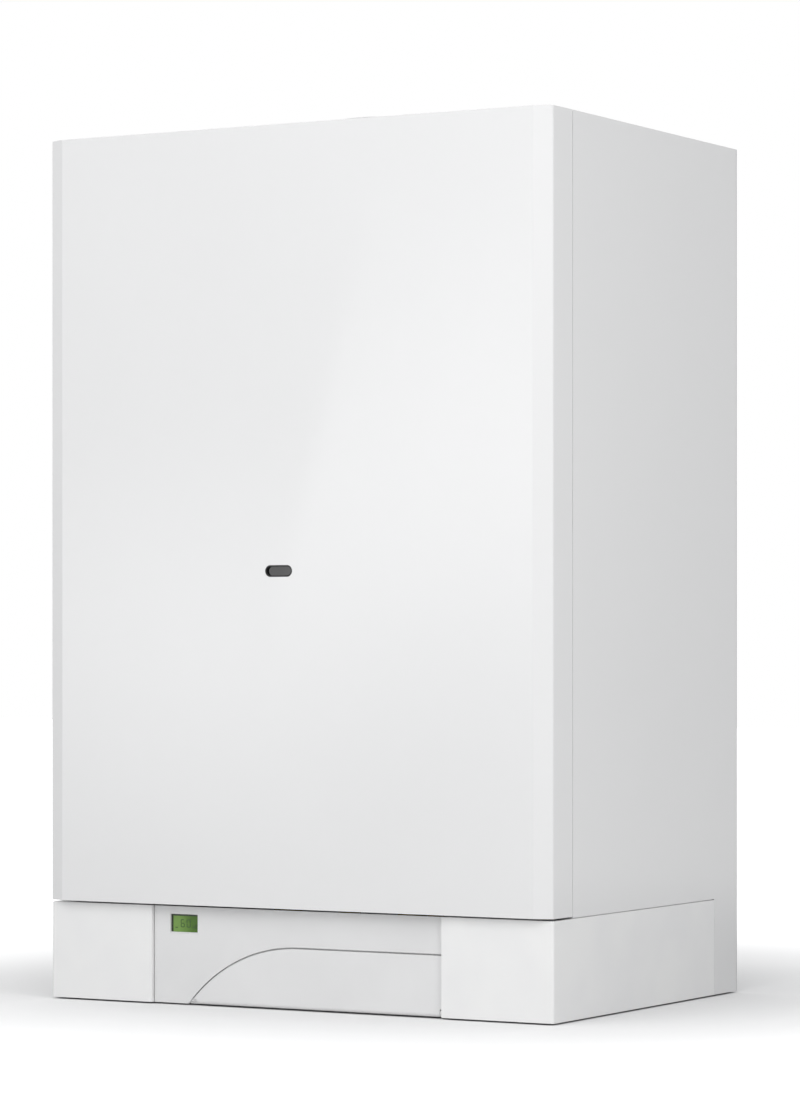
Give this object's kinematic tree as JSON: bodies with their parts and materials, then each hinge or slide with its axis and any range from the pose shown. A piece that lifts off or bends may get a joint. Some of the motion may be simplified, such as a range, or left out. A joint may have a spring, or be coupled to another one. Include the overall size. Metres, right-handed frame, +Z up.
{
  "type": "wall-hung gas boiler",
  "caption": "White wall-hung combination gas boiler with a sight window, a grey tilting control box behind a curved flap, and its burner, fan, pump and pipes inside.",
  "frame": {"origin": "on the wall, midway between the two hanging holes", "axes": "+Y into the wall, so the front faces -Y; +X to the right seen from the front; +Z up"},
  "size_m": [0.5, 0.3605, 0.773],
  "materials": {
    "white_sheet": "satin white powder coat",
    "white_plastic": "satin moulded ABS, white",
    "fascia_plastic": "fine-textured moulded ABS, very light grey",
    "galvanised_sheet": "zinc-coated sheet",
    "zinc_steel": "bright zinc plate",
    "seal_foam": "closed-cell foam",
    "black_plastic": "moulded polyamide",
    "dark_glass": "dark heat-proof glass",
    "grey_plastic": "moulded ABS, mid grey",
    "board": "green lacquered board",
    "display_glass": "clear display window",
    "display_cell": "green display cell",
    "knob_plastic": "moulded ABS, dark grey",
    "gauge_case": "white dial in a black case",
    "red_plastic": "moulded, red",
    "clear_lens": "clear polycarbonate",
    "burner_steel": "heat-tinted stainless steel",
    "ceramic_fibre": "pressed ceramic fibre board",
    "white_ceramic": "glazed alumina",
    "copper": "copper, lightly tarnished",
    "fan_aluminium": "pressed aluminium",
    "motor_aluminium": "cast, painted grey",
    "flue_aluminium": "spun aluminium",
    "brass": "machined and tumbled brass",
    "blue_plastic": "moulded, blue",
    "brazed_steel": "copper-brazed stainless plates",
    "pump_iron": "cast iron, dark paint",
    "red_enamel": "red stoved paint",
    "valve_aluminium": "die-cast aluminium"
  },
  "bodies": {
    "chassis": {"air_pressure_switch": "black_plastic", "air_vent": "brass", "back_plate": "galvanised_sheet", "bottom_plate": "galvanised_sheet", "burner_bars": "burner_steel", "burner_manifold": "zinc_steel", "burner_tray": "galvanised_sheet", "cable_gland": "black_plastic", "casing_screws": "zinc_steel", "chamber_insulation": "ceramic_fibre", "chamber_window": "zinc_steel", "combustion_chamber": "galvanised_sheet", "connection_tails": "brass", "copper_pipes": "copper", "diverter_motor": "black_plastic", "door_seal": "seal_foam", "electrodes": "white_ceramic", "expansion_vessel": "red_enamel", "fan_housing": "galvanised_sheet", "fan_motor": "motor_aluminium", "flow_group": "brass", "flue_collar": "flue_aluminium", "flue_duct": "flue_aluminium", "flue_hood": "galvanised_sheet", "frame_brackets": "galvanised_sheet", "gas_valve": "valve_aluminium", "heat_exchanger": "copper", "ignition_module": "grey_plastic", "pipe_nuts": "brass", "plate_exchanger": "brazed_steel", "pump_body": "pump_iron", "pump_motor": "motor_aluminium", "relief_valve": "brass", "return_group": "brass", "side_panel_left": "white_sheet", "side_panel_right": "white_sheet", "skirt_left": "white_plastic", "skirt_right": "white_plastic", "top_cover": "white_sheet", "water_sensors": "black_plastic"},
    "front_panel": {"front_panel": "white_sheet", "sight_bezel": "black_plastic", "sight_glass": "dark_glass"},
    "control_box": {"control_box": "fascia_plastic", "control_box_lid": "grey_plastic", "circuit_board": "board", "display_lens": "display_glass", "display_module": "display_cell", "pressure_gauge": "gauge_case", "gauge_lens": "clear_lens"},
    "control_flap": {"control_flap": "fascia_plastic"},
    "heating_knob": {"heating_knob": "knob_plastic"},
    "hot_water_knob": {"hot_water_knob": "knob_plastic"},
    "reset_button": {"reset_button": "knob_plastic"},
    "mode_button": {"mode_button": "knob_plastic"},
    "gauge_needle": {"gauge_needle": "red_plastic"},
    "fan_impeller": {"fan_impeller": "fan_aluminium"},
    "pump_impeller": {"pump_impeller": "grey_plastic"},
    "relief_knob": {"relief_knob": "red_plastic"},
    "filling_knob": {"filling_knob": "blue_plastic"}
  },
  "joints": [
    {"name": "front_panel_lift_off", "type": "slide", "parent": "chassis", "child": "front_panel", "axis": [0, -1, 0], "range_m": [0, 0.3]},
    {"name": "control_box_tilt", "type": "hinge", "parent": "chassis", "child": "control_box", "pos_m": [0, -0.338, -0.698], "axis": [1, 0, 0], "range_deg": [0, 90]},
    {"name": "control_flap_hinge", "type": "hinge", "parent": "control_box", "child": "control_flap", "pos_m": [0, -0.3475, -0.707], "axis": [1, 0, 0], "range_deg": [0, 100]},
    {"name": "heating_knob_turn", "type": "hinge", "parent": "control_box", "child": "heating_knob", "pos_m": [0.0677, -0.3365, -0.6836], "axis": [0, 1, 0], "range_deg": [0, 270]},
    {"name": "hot_water_knob_turn", "type": "hinge", "parent": "control_box", "child": "hot_water_knob", "pos_m": [0.0237, -0.3365, -0.6836], "axis": [0, 1, 0], "range_deg": [0, 270]},
    {"name": "reset_button_push", "type": "slide", "parent": "control_box", "child": "reset_button", "axis": [0, 1, 0], "range_m": [0, 0.0015], "stiffness_N_per_m": 300},
    {"name": "mode_button_push", "type": "slide", "parent": "control_box", "child": "mode_button", "axis": [0, 1, 0], "range_m": [0, 0.0015], "stiffness_N_per_m": 300},
    {"name": "gauge_needle_turn", "type": "hinge", "parent": "control_box", "child": "gauge_needle", "pos_m": [0.1177, -0.3365, -0.6836], "axis": [0, 1, 0], "range_deg": [0, 270]},
    {"name": "fan_spin", "type": "hinge", "parent": "chassis", "child": "fan_impeller", "pos_m": [-0.0275, -0.221, -0.06], "axis": [0, 1, 0], "continuous": true},
    {"name": "pump_spin", "type": "hinge", "parent": "chassis", "child": "pump_impeller", "pos_m": [0.13, -0.185, -0.5325], "axis": [0, 1, 0], "continuous": true},
    {"name": "relief_knob_turn", "type": "hinge", "parent": "chassis", "child": "relief_knob", "pos_m": [0.071, -0.233, -0.6015], "axis": [0, 1, 0], "range_deg": [0, 90]},
    {"name": "filling_knob_turn", "type": "hinge", "parent": "chassis", "child": "filling_knob", "pos_m": [0.098, -0.191, -0.6235], "axis": [0, 0, 1], "range_deg": [0, 90]}
  ]
}
